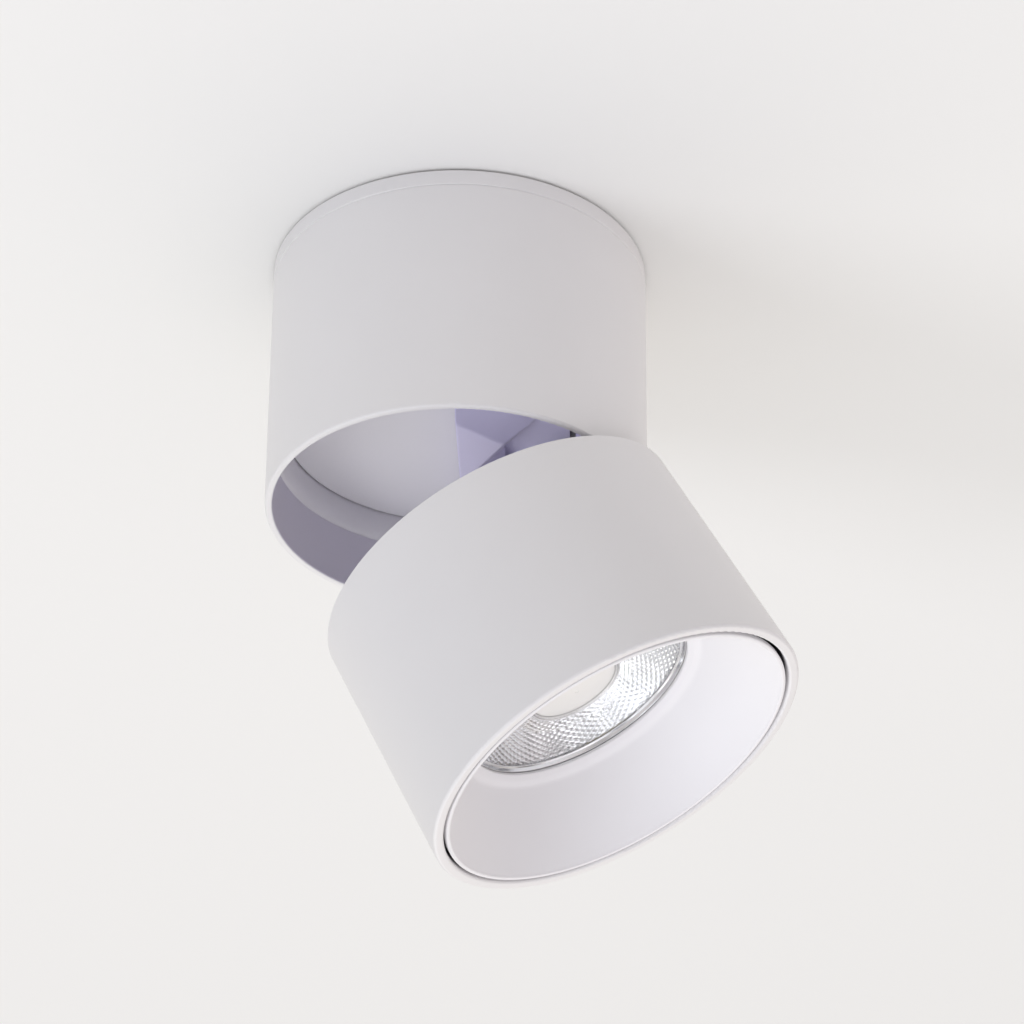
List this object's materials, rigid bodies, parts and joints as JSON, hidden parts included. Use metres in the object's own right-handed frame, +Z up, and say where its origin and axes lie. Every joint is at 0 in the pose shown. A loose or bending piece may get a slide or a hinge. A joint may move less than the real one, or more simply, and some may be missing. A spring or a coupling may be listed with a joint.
{
  "type": "surface mounted ceiling spotlight",
  "caption": "White cylindrical ceiling housing with a folding, swivelling lamp head, recessed anti-glare cone and facetted reflector.",
  "frame": {"origin": "centre of the mounting plate's face on the ceiling", "axes": "+Z up into the ceiling, square to the mounting face; +X is the direction the head leans to at rest; +Y completes the frame"},
  "size_m": [0.138, 0.1044, 0.1722],
  "materials": {
    "white_coat": "satin white powder coat on die-cast aluminium",
    "cavity_coat": "satin light grey powder coat",
    "bracket_grey": "satin lilac grey coat",
    "baffle_white": "smooth matt white moulding",
    "steel": "zinc plated",
    "arm_steel": "light grey coat",
    "brass": "plain",
    "rubber": "moulded",
    "driver_plastic": "moulded",
    "board": "printed circuit laminate",
    "core": "ferrite and bobbin",
    "capacitor": "sleeved",
    "terminal_plastic": "moulded",
    "lead_sleeve": "silicone sleeve",
    "acetal": "natural",
    "sink_aluminium": "die-cast",
    "pad": "soft pad",
    "emitter": "phosphor gel",
    "holder_plastic": "moulded",
    "silvering": "facetted silvered moulding",
    "clear_lens": "polished",
    "cream_lens": "frosted",
    "bright_chrome": "polished"
  },
  "bodies": {
    "housing": {"mounting_plate": "white_coat", "cable_grommet": "rubber", "earth_terminal": "brass", "shoulder_screws": "steel", "housing_shell": "white_coat", "chassis_plate": "steel", "chassis_screws": "steel", "driver_case": "driver_plastic", "driver_lid": "driver_plastic", "driver_board": "board", "driver_transformer": "core", "driver_capacitors": "capacitor", "driver_choke": "core", "driver_screws": "steel", "terminal_block": "terminal_plastic", "terminal_screws": "brass", "terminal_fixing_screw": "steel", "cord_clamp": "terminal_plastic", "cord_clamp_screws": "steel", "bearing_plate": "steel", "bearing_screws": "steel", "cavity_ring": "cavity_coat", "input_leads": "lead_sleeve", "output_lead": "lead_sleeve"},
    "swivel": {"turntable": "cavity_coat", "swivel_stem": "steel", "thrust_washer": "acetal", "friction_washer": "acetal", "wave_washer": "steel", "stem_nut": "steel", "stop_pin": "steel", "hinge_bracket": "bracket_grey", "bracket_screws": "steel", "hinge_pins": "steel", "swivel_lead": "lead_sleeve"},
    "head": {"tilt_arm": "arm_steel", "hinge_washers": "acetal", "arm_screws": "steel", "head_shell": "white_coat", "back_plate": "white_coat", "back_screws": "steel", "heat_sink": "sink_aluminium", "thermal_pad": "pad", "cob_board": "sink_aluminium", "cob_emitter": "emitter", "cob_holder": "holder_plastic", "cob_screws": "steel", "optic_cup": "holder_plastic", "optic_screws": "steel", "reflector": "silvering", "cover_glass": "clear_lens", "centre_lens": "cream_lens", "centre_ring": "bright_chrome", "lens_ring": "bright_chrome", "baffle": "baffle_white", "baffle_clips": "steel", "head_lead": "lead_sleeve"}
  },
  "joints": [
    {"name": "swivel_turn", "type": "hinge", "parent": "housing", "child": "swivel", "pos_m": [0, 0, -0.0482], "axis": [0, 0, 1], "range_deg": [-177.5, 177.5]},
    {"name": "head_tilt", "type": "hinge", "parent": "swivel", "child": "head", "pos_m": [0.037, 0, -0.0587], "axis": [0, -1, 0], "range_deg": [-27.5, 62.5]}
  ]
}
